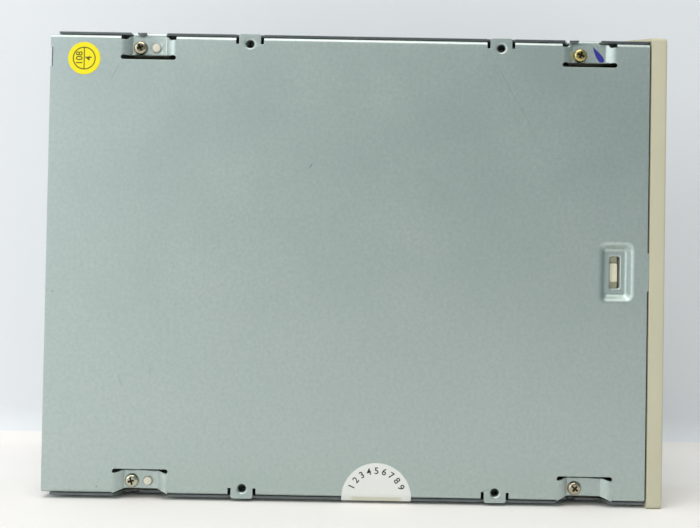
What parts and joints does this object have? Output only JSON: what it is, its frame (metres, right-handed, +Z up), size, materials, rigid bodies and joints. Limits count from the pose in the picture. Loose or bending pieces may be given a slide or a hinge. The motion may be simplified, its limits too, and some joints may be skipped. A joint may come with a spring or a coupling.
{
  "type": "cd-rom drive",
  "caption": "Half-height disc drive in a steel case: motor-driven tray, tilting traverse with spindle and pickup, eject button, volume wheel, headphone jack and rear connectors.",
  "frame": {"origin": "middle of the box's base, with the drive standing on its right-hand side", "axes": "+X out of the bezel, the way the tray opens; +Y towards the top cover; +Z up, towards the user's left side of the drive"},
  "size_m": [0.1952, 0.0424, 0.148],
  "materials": {
    "cover_steel": "zinc-coated sheet, matt",
    "screw_steel": "nickel plated",
    "bezel_abs": "fine moulded texture",
    "frame_abs": "moulded",
    "gear_acetal": "moulded",
    "tray_abs": "fine moulded texture",
    "bright_steel": "plated sheet",
    "motor_steel": "plated can",
    "ground_steel": "ground",
    "board_laminate": "solder mask",
    "black_plastic": "moulded",
    "power_nylon": "moulded",
    "pin_gilt": "plated",
    "can_aluminium": "cast or drawn",
    "rubber": "matt",
    "magnet": "plated",
    "flex_film": "amber film",
    "lamp_resin": "clear tinted",
    "lens_glass": "coated"
  },
  "bodies": {
    "housing": {"bottom_cover": "cover_steel", "top_cover": "cover_steel", "cover_screws": "screw_steel", "front_bezel": "bezel_abs", "main_frame": "frame_abs", "clamp_bridge": "bright_steel", "bridge_screws": "screw_steel", "main_board": "board_laminate", "audio_board": "board_laminate", "button_board": "board_laminate", "board_screws": "screw_steel", "data_header": "black_plastic", "data_pins": "pin_gilt", "power_socket": "power_nylon", "power_pins": "pin_gilt", "jumper_block": "black_plastic", "jumper_pins": "pin_gilt", "jumper_cap": "black_plastic", "audio_sockets": "black_plastic", "audio_pins": "pin_gilt", "board_chips": "black_plastic", "capacitors": "can_aluminium", "flex_connector": "frame_abs", "pickup_flex": "flex_film", "headphone_jack": "black_plastic", "volume_control": "black_plastic", "lamp_holder": "black_plastic", "lamp": "lamp_resin", "eject_switch": "black_plastic", "loading_motor": "motor_steel", "drive_belt": "rubber", "pivot_bushes": "rubber"},
    "tray": {"disc_tray": "tray_abs", "tray_door": "bezel_abs"},
    "eject": {"eject_button": "bezel_abs", "switch_plunger": "gear_acetal"},
    "volume": {"volume_wheel": "bezel_abs"},
    "motor_wheel": {"motor_pulley": "pin_gilt"},
    "belt_wheel": {"drive_pulley": "gear_acetal"},
    "tray_wheel": {"tray_gear": "gear_acetal"},
    "cam": {"cam_slider": "frame_abs"},
    "traverse": {"traverse_frame": "bright_steel", "spindle_motor": "motor_steel", "guide_rods": "ground_steel", "sled_motor": "motor_steel"},
    "spindle": {"spindle_rotor": "bright_steel", "turntable": "black_plastic", "turntable_mat": "rubber", "hub_magnet": "magnet"},
    "clamp": {"clamper": "frame_abs", "clamper_plate": "bright_steel"},
    "pickup": {"pickup_body": "can_aluminium", "pickup_rack": "gear_acetal", "pickup_yokes": "bright_steel"},
    "lens": {"lens_holder": "black_plastic", "objective_lens": "lens_glass"},
    "sled_wheel": {"sled_gear": "gear_acetal"},
    "sled_shaft": {"sled_pinion": "pin_gilt"}
  },
  "joints": [
    {"name": "tray_slide", "type": "slide", "parent": "housing", "child": "tray", "axis": [1, 0, 0], "range_m": [0, 0.128]},
    {"name": "tray_gear_turn", "type": "hinge", "parent": "housing", "child": "tray_wheel", "pos_m": [0.07385, 0.00155, 0.1195], "axis": [0, 1, 0], "range_deg": [-2, 615.6]},
    {"name": "drive_pulley_turn", "type": "hinge", "parent": "housing", "child": "belt_wheel", "pos_m": [0.05585, 0.00025, 0.1195], "axis": [0, 1, 0], "range_deg": [-1229.2, 2]},
    {"name": "motor_pulley_turn", "type": "hinge", "parent": "housing", "child": "motor_wheel", "pos_m": [0.02944, -0.00135, 0.12511], "axis": [0, 1, 0], "range_deg": [-4279, 2]},
    {"name": "eject_press", "type": "slide", "parent": "housing", "child": "eject", "axis": [-1, 0, 0], "range_m": [0, 0.001], "stiffness_N_per_m": 800},
    {"name": "volume_turn", "type": "hinge", "parent": "housing", "child": "volume", "pos_m": [0.08935, -0.01095, 0.117], "axis": [0, 1, 0], "range_deg": [0, 300]},
    {"name": "traverse_tilt", "type": "hinge", "parent": "housing", "child": "traverse", "pos_m": [-0.05815, -0.00565, 0.074], "axis": [0, 0, 1], "range_deg": [-2.88, 0], "deforming": ["pickup_flex"]},
    {"name": "cam_slide", "type": "slide", "parent": "housing", "child": "cam", "axis": [0, 0, -1], "range_m": [0, 0.0121]},
    {"name": "spindle_spin", "type": "hinge", "parent": "traverse", "child": "spindle", "pos_m": [0.01785, 0.00355, 0.074], "axis": [0, 1, 0], "continuous": true},
    {"name": "clamper_spin", "type": "hinge", "parent": "housing", "child": "clamp", "pos_m": [0.01785, 0.01325, 0.074], "axis": [0, 1, 0], "continuous": true},
    {"name": "pickup_slide", "type": "slide", "parent": "traverse", "child": "pickup", "axis": [-1, 0, 0], "range_m": [0, 0.0355], "deforming": ["pickup_flex"]},
    {"name": "sled_gear_turn", "type": "hinge", "parent": "traverse", "child": "sled_wheel", "pos_m": [-0.00015, -0.00225, 0.0416], "axis": [0, 1, 0], "range_deg": [-380.2, 2]},
    {"name": "sled_pinion_turn", "type": "hinge", "parent": "traverse", "child": "sled_shaft", "pos_m": [0.01285, -0.00375, 0.0416], "axis": [0, 1, 0], "range_deg": [-2, 852.9]},
    {"name": "lens_focus", "type": "slide", "parent": "pickup", "child": "lens", "axis": [0, 1, 0], "range_m": [-0.00035, 0.00035], "stiffness_N_per_m": 40}
  ],
  "couplings": [
    {"joint": "tray_gear_turn", "follows": "tray_slide", "rad_per_m": 83.333},
    {"joint": "drive_pulley_turn", "follows": "tray_slide", "rad_per_m": -166.67},
    {"joint": "motor_pulley_turn", "follows": "tray_slide", "rad_per_m": -580.87},
    {"joint": "cam_slide", "follows": "traverse_tilt", "m_per_rad": -0.23808},
    {"joint": "clamper_spin", "follows": "spindle_spin", "ratio": 1},
    {"joint": "sled_gear_turn", "follows": "pickup_slide", "rad_per_m": -185.19},
    {"joint": "sled_pinion_turn", "follows": "pickup_slide", "rad_per_m": 416.67}
  ]
}
